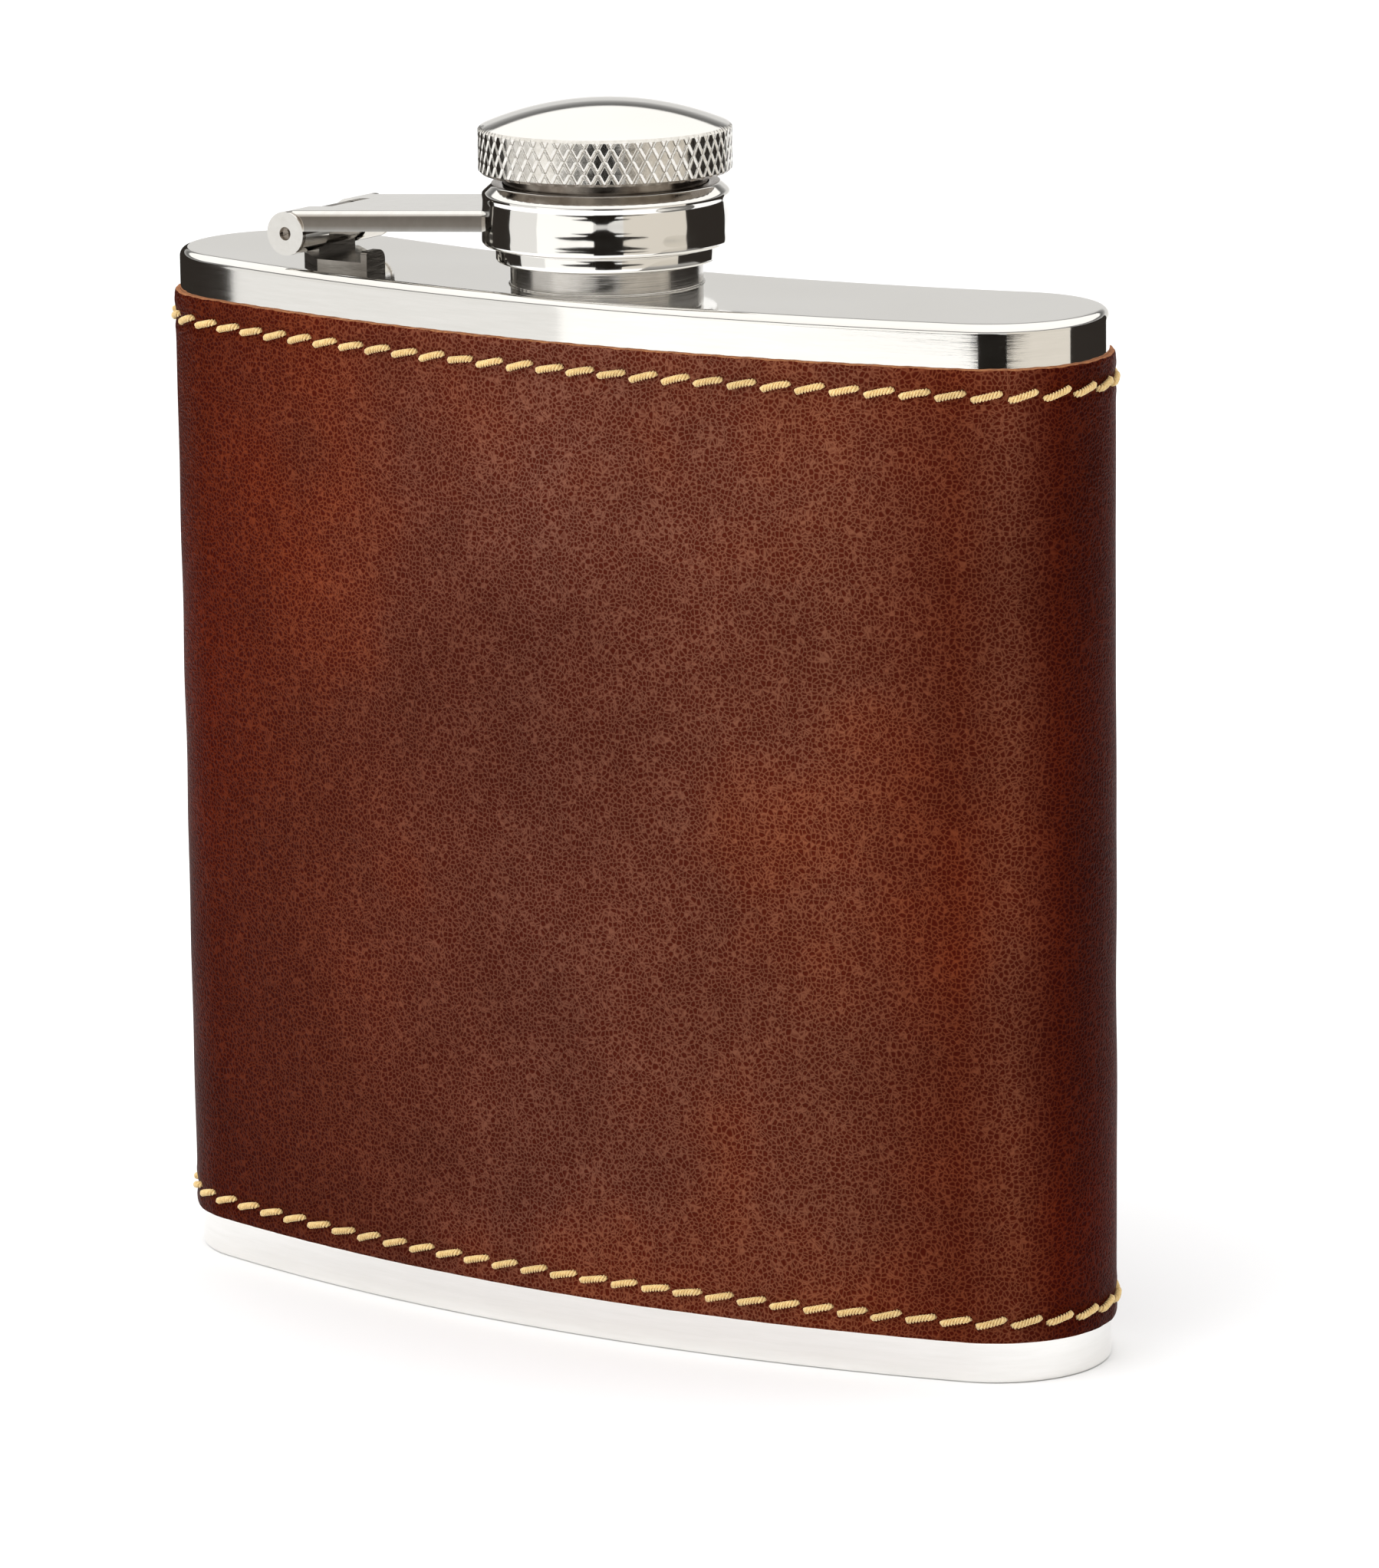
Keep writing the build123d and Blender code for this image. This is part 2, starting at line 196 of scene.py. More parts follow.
# ======================= mesh helpers =======================
def piece(name, verts, faces, body, materials, replaced=(), smooth=True, indices=None):
    """A mesh object from millimetre coordinates, riding on a body."""
    mesh = bpy.data.meshes.new(name)
    mesh.from_pydata((np.asarray(verts, float) * MM).tolist(), [], faces)
    mesh.validate()
    for material in materials:
        mesh.materials.append(material)
    if indices is not None:
        mesh.polygons.foreach_set("material_index", indices)
    mesh.polygons.foreach_set("use_smooth", [smooth] * len(mesh.polygons))
    obj = bpy.data.objects.new(name, mesh)
    bpy.context.scene.collection.objects.link(obj)
    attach(obj, body)
    if replaced:
        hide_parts(*replaced)
    return obj


def sharpen(obj, angle=35):
    """Keeps edges sharper than the angle crisp on a smooth-shaded mesh."""
    obj.data.set_sharp_from_angle(angle=radians(angle))


def grid_faces(rows, columns, closed_rows, closed_columns):
    """Quads of a rows by columns grid whose vertices are numbered row by row."""
    faces = []
    for i in range(rows if closed_rows else rows - 1):
        for j in range(columns if closed_columns else columns - 1):
            k = (i + 1) % rows
            m = (j + 1) % columns
            faces.append((i * columns + j, i * columns + m, k * columns + m, k * columns + j))
    return faces


def lathe(name, profile, body, material, replaced=(), columns=192, bend=None, smooth_angle=35):
    """A closed profile of (radius, height above the lid), turned about the spout axis.
    bend(angle, profile array) may return other radii for each angle."""
    profile = np.array(profile, float)
    angles = np.linspace(0, 2 * pi, columns, endpoint=False)
    radius = np.repeat(profile[:, :1], columns, 1)
    if bend is not None:
        radius = bend(angles[None, :], radius, profile[:, 1:2])
    x = SPOUT_X + radius * np.cos(angles)
    y = SPOUT_Y + radius * np.sin(angles)
    z = LID + np.repeat(profile[:, 1:2], columns, 1)
    verts = np.stack([x, y, z], 2).reshape(-1, 3)
    faces = grid_faces(len(profile), columns, True, True)
    obj = piece(name, verts, faces, body, [material], replaced)
    sharpen(obj, smooth_angle)
    return obj


def recoat(obj, material, chosen):
    """Gives another material to the faces for which chosen(radius, height above the lid) holds."""
    mesh = obj.data
    mesh.materials.append(material)
    centres = np.empty(3 * len(mesh.polygons))
    mesh.polygons.foreach_get("center", centres)
    x, y, z = centres.reshape(-1, 3).T / MM
    indices = np.empty(len(mesh.polygons), dtype=np.int32)
    mesh.polygons.foreach_get("material_index", indices)
    indices[chosen(np.hypot(x - SPOUT_X, y - SPOUT_Y), z - LID)] = len(mesh.materials) - 1
    mesh.polygons.foreach_set("material_index", indices)


def rounded(corner, before, after, radius, steps=6):
    """Profile points of a round of the given radius at a right-angled corner."""
    corner, before, after = (np.array(p, float) for p in (corner, before, after))
    a = (before - corner) / np.hypot(*(before - corner))
    b = (after - corner) / np.hypot(*(after - corner))
    centre = corner + radius * (a + b)
    turn = np.linspace(0, pi / 2, steps + 1)
    return [tuple(centre - radius * (b * cos(t) + a * sin(t))) for t in turn]


def between(start, finish, count):
    """Evenly spaced profile points, without the two ends."""
    start, finish = np.array(start, float), np.array(finish, float)
    return [tuple(start + (finish - start) * i / (count + 1)) for i in range(1, count + 1)]


# ======================= materials =======================
class Nodes:
    """A short way to wire a material's nodes."""

    def __init__(self, name):
        self.material = bpy.data.materials.new(name)
        self.material.use_nodes = True
        self.tree = self.material.node_tree
        self.shader = self.tree.nodes["Principled BSDF"]
        self.coordinates = self.tree.nodes.new("ShaderNodeTexCoord").outputs["Object"]

    def add(self, kind, **inputs):
        node = self.tree.nodes.new("ShaderNode" + kind)
        for key, value in inputs.items():
            self.put(node, key.replace("_", " "), value)
        return node

    def put(self, node, key, value):
        socket = node.inputs[key]
        if isinstance(value, bpy.types.NodeSocket):
            self.tree.links.new(value, socket)
        else:
            socket.default_value = value

    def stretched(self, scale):
        mapping = self.add("Mapping", Vector=self.coordinates)
        mapping.inputs["Scale"].default_value = scale
        return mapping.outputs["Vector"]

    def noise(self, scale, detail=4.0, rough=0.55, vector=None):
        vector = vector or self.coordinates
        node = self.add("TexNoise", Vector=vector, Scale=scale, Detail=detail, Roughness=rough)
        return node.outputs["Fac"]

    def ramp(self, factor, stops):
        node = self.add("ValToRGB", Fac=factor)
        ramp = node.color_ramp
        while len(ramp.elements) < len(stops):
            ramp.elements.new(0.5)
        for element, (place, colour) in zip(ramp.elements, stops):
            element.position = place
            element.color = colour if len(colour) == 4 else (*colour, 1)
        return node.outputs["Color"]

    def level(self, factor, low, high):
        """The factor spread from low to high."""
        node = self.add("MapRange", Value=factor)
        node.inputs["To Min"].default_value = low
        node.inputs["To Max"].default_value = high
        return node.outputs["Result"]

    def math(self, operation, *values):
        node = self.tree.nodes.new("ShaderNodeMath")
        node.operation = operation
        for index, value in enumerate(values):
            self.put(node, index, value)
        return node.outputs[0]

    def bump(self, height, strength, distance):
        node = self.add("Bump", Height=height, Strength=strength, Distance=distance)
        return node.outputs["Normal"]

    def mix(self, factor, a, b, blend="MIX"):
        node = self.tree.nodes.new("ShaderNodeMix")
        node.data_type = "RGBA"
        node.blend_type = blend
        for socket, value in zip((node.inputs[0], node.inputs[6], node.inputs[7]), (factor, a, b)):
            if isinstance(value, bpy.types.NodeSocket):
                self.tree.links.new(value, socket)
            else:
                socket.default_value = value
        return node.outputs[2]

    def set(self, **inputs):
        for key, value in inputs.items():
            self.put(self.shader, key.replace("_", " "), value)
        return self.material


def grey(value):
    return (value, value, value)


def polished_steel():
    """Mirror steel: faint warm tone, buffing marks and a very slight ripple."""
    n = Nodes("polished_steel")
    marks = n.noise(900, 3, 0.6, n.stretched((1, 1, 0.12)))
    ripple = n.noise(55, 1.5)
    colour = n.ramp(ripple, [(0.3, (0.80, 0.785, 0.755)), (0.75, (0.85, 0.84, 0.815))])
    normal = n.bump(ripple, 0.06, 0.0006)
    return n.set(Base_Color=colour, Metallic=1.0, Roughness=n.level(marks, 0.03, 0.1), Normal=normal)


def arm_steel_painted_reflection():
    """The pressed arm: mirror steel, with a painted dark brown reflection along its two narrow sides."""
    n = Nodes("arm_steel_painted_reflection")
    marks = n.noise(900, 3, 0.6)
    colour = n.ramp(marks, [(0.3, (0.78, 0.765, 0.735)), (0.75, (0.85, 0.84, 0.815))])
    across = n.tree.nodes.new("ShaderNodeTexCoord").outputs["Generated"]
    across = n.add("SeparateXYZ", Vector=across).outputs["Y"]
    aside = n.math("ABSOLUTE", n.math("SUBTRACT", across, 0.5))
    # painted reflection: these stops lay a dark brown band down each narrow side of the arm
    stops = [
        (0.462, grey(1.0)),
        (0.471, (0.36, 0.32, 0.285)),
        (0.486, (0.50, 0.46, 0.42)),
        (0.4925, grey(1.0)),
    ]
    shade = n.ramp(aside, stops)
    colour = n.mix(1.0, colour, shade, "MULTIPLY")
    return n.set(Base_Color=colour, Metallic=1.0, Roughness=n.level(marks, 0.03, 0.09))


def satin_steel():
    """The wall below the lid: polished along its length, a little less bright."""
    n = Nodes("satin_wall_steel")
    grain = n.noise(160, 5, 0.65, n.stretched((1, 1, 14)))
    colour = n.ramp(grain, [(0.3, (0.83, 0.82, 0.795)), (0.75, (0.89, 0.88, 0.86))])
    normal = n.bump(grain, 0.014, 0.0002)
    return n.set(Base_Color=colour, Metallic=1.0, Roughness=n.level(grain, 0.03, 0.09), Normal=normal)


def turned_steel():
    """The spout with its collar, and the weld bead: fine turning lines."""
    n = Nodes("turned_steel")
    lines = n.noise(300, 3, 0.6, n.stretched((0.4, 0.4, 22)))
    blotch = n.noise(260, 3)
    colour = n.ramp(blotch, [(0.3, (0.44, 0.42, 0.39)), (0.75, (0.58, 0.56, 0.53))])
    normal = n.bump(lines, 0.16, 0.0001)
    return n.set(Base_Color=colour, Metallic=1.0, Roughness=n.level(lines, 0.1, 0.24), Normal=normal)


def knurled_steel():
    """The knurled rim: the same steel, duller in its grooves."""
    n = Nodes("knurled_steel")
    mottle = n.noise(1500, 4, 0.65)
    colour = n.ramp(mottle, [(0.3, (0.60, 0.575, 0.53)), (0.7, (0.76, 0.74, 0.705))])
    normal = n.bump(mottle, 0.12, 0.00005)
    return n.set(Base_Color=colour, Metallic=1.0, Roughness=n.level(mottle, 0.06, 0.2), Normal=normal)


def shaded_steel():
    """Steel inside the narrow gaps round the ring: its dark brown is painted shade and painted dark
    reflection, mottled by noise.
    """
    n = Nodes("shaded_steel")
    mottle = n.noise(500, 4, 0.6)
    colour = n.ramp(mottle, [(0.3, (0.13, 0.105, 0.085)), (0.7, (0.30, 0.27, 0.235))])
    normal = n.bump(mottle, 0.1, 0.00006)
    return n.set(Base_Color=colour, Metallic=1.0, Roughness=n.level(mottle, 0.1, 0.24), Normal=normal)


def dark_steel():
    """The hinge bracket: unpolished, rougher and darker than the other steel."""
    n = Nodes("dark_steel")
    lines = n.noise(420, 4, 0.6, n.stretched((1, 1, 5)))
    blotch = n.noise(330, 4)
    colour = n.ramp(blotch, [(0.3, (0.20, 0.18, 0.16)), (0.75, (0.36, 0.34, 0.31))])
    normal = n.bump(lines, 0.25, 0.00008)
    return n.set(Base_Color=colour, Metallic=1.0, Roughness=n.level(lines, 0.14, 0.3), Normal=normal)


def leather():
    """Reddish brown leather: dark pits in a net of paler ridges; painted shade darkens both ends, and
    painted reflection lightens the ridges, the middle and the top.
    """
    n = Nodes("brown_leather")
    sway = n.add("TexNoise", Vector=n.coordinates, Scale=300.0, Detail=2.0).outputs["Color"]
    bent = n.mix(0.0011, n.coordinates, sway, "ADD")
    cells = n.add("TexVoronoi", Vector=bent, Scale=2450.0, Randomness=0.9)
    cells.feature = "DISTANCE_TO_EDGE"
    walls = n.add("MapRange", Value=cells.outputs["Distance"])
    walls.inputs["From Max"].default_value = 0.26
    walls.inputs["To Min"].default_value = 1.0
    walls.inputs["To Max"].default_value = 0.0
    creases = n.noise(900, 5, 0.7)
    net = n.mix(0.22, walls.outputs["Result"], creases)
    patches = n.noise(24, 4, 0.55)
    clouds = n.noise(85, 5, 0.6)
    tone = n.ramp(patches, [(0.34, DEEP_BROWN), (0.5, BROWN), (0.68, RUSSET)])
    cloud = n.ramp(clouds, [(0.32, grey(0.88)), (0.52, grey(1.0)), (0.74, grey(1.10))])
    tone = n.mix(1.0, tone, cloud, "MULTIPLY")
    # the pits are darker and the ridges paler; the ridges' grey-blue lift is a painted sheen
    grain = n.ramp(net, [(0.2, (0.56, 0.26, 0.16)), (0.5, grey(0.92)), (0.85, (1.75, 2.7, 3.0))])
    tone = n.mix(0.9, tone, grain, "MULTIPLY")
    place = n.add("SeparateXYZ", Vector=n.coordinates)
    across = n.add("MapRange", Value=place.outputs["X"])
    across.inputs["From Min"].default_value = -LEATHER_REACH
    across.inputs["From Max"].default_value = LEATHER_REACH
    # painted shade darkens both ends, and a painted reflection makes the middle dusty, along X
    shade = n.ramp(across.outputs["Result"], PAINTED_SHADE_AND_SHEEN)
    tone = n.mix(1.0, tone, shade, "MULTIPLY")
    up = n.add("MapRange", Value=place.outputs["Z"])
    up.inputs["From Max"].default_value = LEATHER_TOP
    # painted reflection: the leather turns paler and greyer towards its top
    rise = n.ramp(up.outputs["Result"], [(0.0, grey(0.97)), (0.5, grey(0.97)), (0.85, (1.09, 1.16, 1.2))])
    tone = n.mix(1.0, tone, rise, "MULTIPLY")
    normal = n.bump(net, 0.7, 0.00014)
    roughness = n.level(clouds, 0.40, 0.50)
    return n.set(Base_Color=tone, Roughness=roughness, Normal=normal, Specular_IOR_Level=0.02)


def leather_edge():
    """The cut edge: raw orange-tan fibre."""
    n = Nodes("cut_leather_edge")
    fibre = n.noise(2600, 5, 0.7)
    tone = n.ramp(fibre, [(0.3, (0.17, 0.050, 0.016)), (0.7, (0.42, 0.165, 0.055))])
    return n.set(Base_Color=tone, Roughness=0.85, Normal=n.bump(fibre, 0.5, 0.0001))


def thread():
    """Golden waxed thread."""
    n = Nodes("golden_thread")
    fibre = n.noise(3500, 4, 0.7)
    dye = n.noise(120, 2)
    tone = n.ramp(fibre, [(0.25, (0.60, 0.375, 0.125)), (0.7, (0.93, 0.705, 0.33))])
    shade = n.ramp(dye, [(0.3, grey(0.86)), (0.7, grey(1.08))])
    tone = n.mix(1.0, tone, shade, "MULTIPLY")
    n.set(Base_Color=tone, Roughness=0.62, Normal=n.bump(fibre, 0.4, 0.00006))
    return n.set(Sheen_Weight=0.25, Sheen_Roughness=0.5)


def silicone():
    n = Nodes("clear_silicone")
    haze = n.noise(700, 3)
    tone = n.ramp(haze, [(0.3, (0.72, 0.72, 0.69)), (0.7, (0.84, 0.84, 0.81))])
    return n.set(Base_Color=tone, Roughness=0.45, Subsurface_Weight=0.2, Normal=n.bump(haze, 0.1, 0.0001))


# how far the leather's shading runs, in metres: to each side, and up
LEATHER_REACH = 0.048
LEATHER_TOP = 0.088
DEEP_BROWN = (0.072, 0.0105, 0.0036)
BROWN = (0.092, 0.0145, 0.0052)
RUSSET = (0.122, 0.0150, 0.0038)
# painted light and shade from the -X end to the +X end: painted shade makes the ends deep red, painted
# reflection makes the middle dusty and adds a sheen band near +X
PAINTED_SHADE_AND_SHEEN = [
    (0.0, (0.38, 0.18, 0.10)),
    (0.09, (0.62, 0.38, 0.24)),
    (0.25, (0.90, 0.95, 1.10)),
    (0.5, (1.14, 1.75, 2.70)),
    (0.8, (1.18, 1.70, 2.30)),
    (0.91, (0.84, 0.80, 0.80)),
    (0.955, (1.05, 1.35, 1.70)),
    (0.98, (0.60, 0.34, 0.22)),
    (1.0, (0.34, 0.15, 0.08)),
]
POLISHED = polished_steel()
DARK = dark_steel()
ARM = arm_steel_painted_reflection()
KNURLED = knurled_steel()
SHADED = shaded_steel()
SATIN = satin_steel()
TURNED = turned_steel()
LEATHER_SKIN = leather()
LEATHER_CUT = leather_edge()
THREAD = thread()
SILICONE = silicone()


# ======================= steel body =======================
def kidney_loop(inset):
    """One loop of evenly spaced outline points."""
    points, normals = kidney(inset)
    length = float(np.hypot(*np.diff(points, axis=0).T).sum())
    return spaced(points, normals, np.linspace(0, length, COLUMNS, endpoint=False))[0]


def kidney_rows(profile):
    """Vertices of outline loops at (inset, height) pairs."""
    rows = []
    for inset, height in profile:
        loop = kidney_loop(inset)
        rows.append(np.column_stack([loop, np.full(COLUMNS, height)]))
    return np.concatenate(rows)


def body_wall():
    low = base_high.z
    high = plate_low.z
    outside = [(LEATHER, low + (high - low) * i / 40) for i in range(41)]
    inside = [(LEATHER + WALL, high), (LEATHER + WALL, low)]
    profile = outside + inside
    faces = grid_faces(len(profile), COLUMNS, True, True)
    verts = kidney_rows(profile)
    obj = piece("polished_wall", verts, faces, "flask", [SATIN], ["body_wall"])
    sharpen(obj)


def lid():
    """The lid: a rounded rim, and a flat top with the spout's hole."""
    edge = rounded((LEATHER, LID), (LEATHER, plate_low.z), (plate_high.x, LID), TOP_EDGE, 8)
    profile = [(LEATHER, plate_low.z)] + edge + [(LEATHER + TOP_EDGE + 0.5, LID)]
    verts = kidney_rows(profile)
    outer_loop = kidney_loop(profile[-1][0])
    toward = outer_loop - np.array([SPOUT_X, SPOUT_Y])
    toward = toward / np.hypot(*toward.T)[:, None]
    hole = np.array([SPOUT_X, SPOUT_Y]) + SPIGOT_RADIUS * toward
    rings = [np.column_stack([hole, np.full(COLUMNS, z)]) for z in (LID, plate_low.z)]
    verts = np.concatenate([verts] + rings)
    faces = grid_faces(len(profile) + 2, COLUMNS, True, True)
    obj = piece("mirror_lid", verts, faces, "flask", [POLISHED], ["top_plate"])
    sharpen(obj)


def base():
    edge = rounded((LEATHER, 0), (base_high.x, 0), (LEATHER, base_high.z), BASE_EDGE, 6)
    profile = [(LEATHER + BASE_EDGE + 0.5, 0)] + edge + [(LEATHER, base_high.z)]
    verts = kidney_rows(profile)
    faces = grid_faces(len(profile), COLUMNS, False, True)
    faces.append(tuple(reversed(range(COLUMNS))))
    last = (len(profile) - 1) * COLUMNS
    faces.append(tuple(range(last, last + COLUMNS)))
    obj = piece("base_panel", verts, faces, "flask", [SATIN], ["base_plate"])
    sharpen(obj)


# ======================= leather wrap =======================
def stitch_stations():
    """Distances along the outline of each stitch's middle."""
    stations = (np.arange(STITCHES) + 0.5) * GIRTH / STITCHES
    return stations[(stations > STITCH_LENGTH) & (stations < GIRTH - STITCH_LENGTH)]


def hole_places():
    """(station, height) of every needle hole of the two rows and of the back seam."""
    lean = sin(radians(STITCH_SLANT))
    reach = STITCH_LENGTH / 2 * cos(radians(STITCH_SLANT))
    places = []
    for height in (TOP_ROW, BOTTOM_ROW):
        for station in stitch_stations():
            for end in (-1, 1):
                places.append((station + end * reach, height - end * lean * STITCH_LENGTH / 2))
    for height in seam_heights():
        for end in (-1, 1):
            side = end * SEAM_STITCH_LENGTH / 2 * cos(radians(SEAM_STITCH_SLANT))
            rise = end * SEAM_STITCH_LENGTH / 2 * sin(radians(SEAM_STITCH_SLANT))
            places.append((side % GIRTH, height - rise))
    return np.array(places)


def seam_heights():
    low = BOTTOM_ROW + SEAM_STITCH_PITCH
    count = int((TOP_ROW - SEAM_STITCH_PITCH - low) / SEAM_STITCH_PITCH) + 1
    return low + SEAM_STITCH_PITCH * np.arange(count)


def leather_relief(station, height):
    """How far the surface stands off its nominal place: waves, stitch furrows and puckers."""
    relief = np.zeros(np.broadcast(station, height).shape)
    for _ in range(14):
        along, up = wave_dice.uniform(-0.16, 0.16, 2)
        phase = wave_dice.uniform(0, 2 * pi)
        relief += 0.010 * np.sin(2 * pi * (along * station / 2 + up * height / 2) + phase)
    for row in (TOP_ROW, BOTTOM_ROW):
        furrow = np.exp(-(((height - row) / 0.62) ** 2))
        beside = np.exp(-(((np.abs(height - row) - 1.15) / 0.5) ** 2))
        beat = np.cos(2 * pi * station * STITCHES / GIRTH)
        relief += -0.10 * furrow + beside * (0.028 + 0.03 * beat)
    return relief


def heights_of_rows():
    """Row heights: close together by the stitching and the edges, wider between."""
    low, high = leather_low.z, leather_high.z
    fine = 0.16
    bottom = np.arange(low + 0.32, BOTTOM_ROW + 1.8, fine)
    top = np.arange(TOP_ROW - 1.8, high - 0.3, fine)
    middle = np.linspace(bottom[-1] + 0.5, top[0] - 0.5, 120)
    return np.concatenate([bottom, middle, top])


def press_holes(relief, stations, heights):
    for station, height in hole_places():
        across = np.abs(stations - station) < 1.0
        up = np.abs(heights - height) < 1.0
        if not across.any() or not up.any():
            continue
        s = stations[across][None, :] - station
        h = heights[up][:, None] - height
        dent = -0.22 * np.exp(-(s * s + h * h) / 0.09)
        relief[np.ix_(up, across)] += dent
    return relief


def leather_wrap():
    columns = 1180
    start = SEAM_GAP / 2
    stations = np.linspace(start, GIRTH - start, columns)
    place, facing = spaced(OUTER, OUTER_NORMALS, stations)
    heights = heights_of_rows()
    relief = leather_relief(stations[None, :], heights[:, None])
    relief = press_holes(relief, stations, heights)
    from_seam = np.minimum(stations, GIRTH - stations)
    relief -= 0.22 * np.exp(-((from_seam / 0.55) ** 2))[None, :]
    low, high = leather_low.z, leather_high.z
    fray = 0.03 * np.sin(stations * 1.7) + 0.02 * np.sin(stations * 4.3 + 1)
    inside = np.full(columns, 0.02 - LEATHER)
    rows = [(relief[0] - 0.03, low + 0.16), (relief[0] - 0.1, low + 0.05 + fray * 0.4)]
    rows += [(relief[i], height) for i, height in enumerate(heights)]
    rows += [(relief[-1] - 0.03, high - 0.16 + fray), (relief[-1] - 0.1, high - 0.05 + fray)]
    rows += [(relief[-1] - 0.2, high + fray * 0.5), (inside, high)]
    rows += [(inside, low), (relief[0] - 0.2, low)]
    verts = []
    for off, z in rows:
        spot = place + facing * off[:, None]
        verts.append(np.column_stack([spot, np.broadcast_to(z, columns)]))
    count = len(rows)
    faces = grid_faces(count, columns, True, False)
    indices = []
    for row in range(count):
        indices += [int(row >= count - CUT_ROWS)] * (columns - 1)
    faces.append(tuple(row * columns for row in range(count)))
    faces.append(tuple(row * columns + columns - 1 for row in reversed(range(count))))
    indices += [1, 1]
    obj = piece(
        "leather_cover", np.concatenate(verts), faces, "flask",
        [LEATHER_SKIN, LEATHER_CUT], ["leather_wrap"], indices=indices,
    )
    sharpen(obj, 60)


# ======================= thread =======================
def twisted(path, out, radius, strands=3, twist=0.85, sides=8):
    """Strands laid round a path; returns vertices and faces.  out is the surface normal."""
    path = np.array(path)
    tangent = np.gradient(path, axis=0)
    tangent /= np.linalg.norm(tangent, axis=1)[:, None]
    aside = np.cross(tangent, out)
    aside /= np.linalg.norm(aside, axis=1)[:, None]
    up = np.cross(aside, tangent)
    length = np.concatenate([[0], np.cumsum(np.linalg.norm(np.diff(path, axis=0), axis=1))])
    lay = radius * 0.58
    thick = radius * 0.47
    verts = []
    faces = []
    for strand in range(strands):
        angle = 2 * pi * (strand / strands + length / twist)
        middle = path + lay * (np.cos(angle)[:, None] * aside + np.sin(angle)[:, None] * up)
        first = len(verts)
        for i in range(len(path)):
            for side in range(sides):
                turn = 2 * pi * side / sides
                verts.append(middle[i] + thick * (cos(turn) * aside[i] + sin(turn) * up[i]))
        for i in range(len(path) - 1):
            for side in range(sides):
                a = first + i * sides + side
                b = first + i * sides + (side + 1) % sides
                faces.append((a, a + sides, b + sides, b))
        faces.append(tuple(first + side for side in range(sides)))
        last = first + (len(path) - 1) * sides
        faces.append(tuple(last + side for side in reversed(range(sides))))
    return verts, faces


def laid_stitch(station, height, length, slant, rng):
    """A stitch over the leather: it comes out of one hole, lies along the skin and goes in again."""
    steps = 22
    along = np.linspace(-1, 1, steps)
    lift = 0.06 * (1 - np.abs(along) ** 4) - 0.40 * np.abs(along) ** 8
    slant = radians(slant + rng.normal(0, 2.0))
    reach = length / 2 * (1 + rng.normal(0, 0.02))
    place, facing = spaced(OUTER, OUTER_NORMALS, station + along * reach * cos(slant))
    bow = 0.05 * np.sin(pi * (along + 1) / 2) * rng.normal(0.6, 0.5)
    heights = height - along * reach * sin(slant) + bow
    spot = place + facing * (lift + 0.04)[:, None]
    path = np.column_stack([spot, heights])
    out = np.column_stack([facing, np.zeros(steps)])
    return path, out


def gather(stitches, name, replaced):
    verts = []
    faces = []
    for path, out in stitches:
        more_verts, more_faces = twisted(path, out, THREAD_RADIUS)
        shift = len(verts)
        verts += more_verts
        faces += [tuple(shift + i for i in face) for face in more_faces]
    piece(name, verts, faces, "flask", [THREAD], [replaced])


def stitching():
    rng = np.random.default_rng(21)
    for name, height, node in (
        ("top_thread", TOP_ROW, "top_stitching"),
        ("bottom_thread", BOTTOM_ROW, "bottom_stitching"),
    ):
        row = [laid_stitch(s, height, STITCH_LENGTH, STITCH_SLANT, rng) for s in stitch_stations()]
        gather(row, name, node)
    seam = [seam_stitch(height, rng) for height in seam_heights()]
    gather(seam, "back_seam_thread", "back_seam_stitching")


def seam_stitch(height, rng):
    """A stitch across the gap of the back seam."""
    steps = 26
    along = np.linspace(-1, 1, steps)
    slant = radians(SEAM_STITCH_SLANT + rng.normal(0, 1.5))
    reach = SEAM_STITCH_LENGTH / 2
    side = along * reach * cos(slant)
    place, facing = spaced(OUTER, OUTER_NORMALS, side % GIRTH)
    lift = 0.2 * (1 - np.abs(along) ** 6) - 0.3 * np.abs(along) ** 10
    spot = place + facing * (lift + 0.02)[:, None]
    path = np.column_stack([spot, height - along * reach * sin(slant)])
    return path, np.column_stack([facing, np.zeros(steps)])


# ======================= spout, ring and cap =======================
def ridge(phase):
    """A rounded thread ridge, 0 at the root and 1 at the crest, over one pitch."""
    return np.clip(1.35 * (0.5 + 0.5 * np.cos(2 * pi * phase)) - 0.2, 0, 1)


def helix(low, high, depth):
    """A bend for lathe(): a thread between two heights that runs in and out smoothly."""

    def bend(angles, radius, heights):
        phase = heights / THREAD_PITCH - angles / (2 * pi)
        start = np.clip((heights - low - THREAD_PITCH * angles / (2 * pi)) / 0.5 + 1, 0, 1)
        finish = np.clip((high - heights) / 0.6, 0, 1)
        inside = (heights > low - 0.01) & (heights < high + 0.01)
        on_wall = np.abs(radius - radius[np.argmin(np.abs(heights[:, 0] - (low + high) / 2))]) < 0.01
        return radius + np.where(inside & on_wall, depth * ridge(phase) * start * finish, 0)

    return bend


def spout():
    top = spout_high.z - LID
    low = spout_low.z - LID
    wall = between((SPOUT_ROOT, COLLAR_HEIGHT), (SPOUT_ROOT, top - 0.4), 110)
    profile = [(SPOUT_BORE, low), (SPIGOT_RADIUS, low), (SPIGOT_RADIUS, 0), (COLLAR_RADIUS, 0)]
    collar = (COLLAR_RADIUS, COLLAR_HEIGHT)
    profile += rounded(collar, (COLLAR_RADIUS, 0), (SPOUT_ROOT, COLLAR_HEIGHT), COLLAR_EDGE)
    profile += [(SPOUT_ROOT, COLLAR_HEIGHT)] + wall
    profile += rounded((SPOUT_ROOT, top), (SPOUT_ROOT, 0), (SPOUT_BORE, top), 0.35)
    profile += rounded((SPOUT_BORE, top), (SPOUT_ROOT, top), (SPOUT_BORE, 0), 0.3)
    bend = helix(*SPOUT_THREAD, SPOUT_CREST - SPOUT_ROOT)
    lathe("threaded_spout", profile, "flask", TURNED, ["spout"], bend=bend)


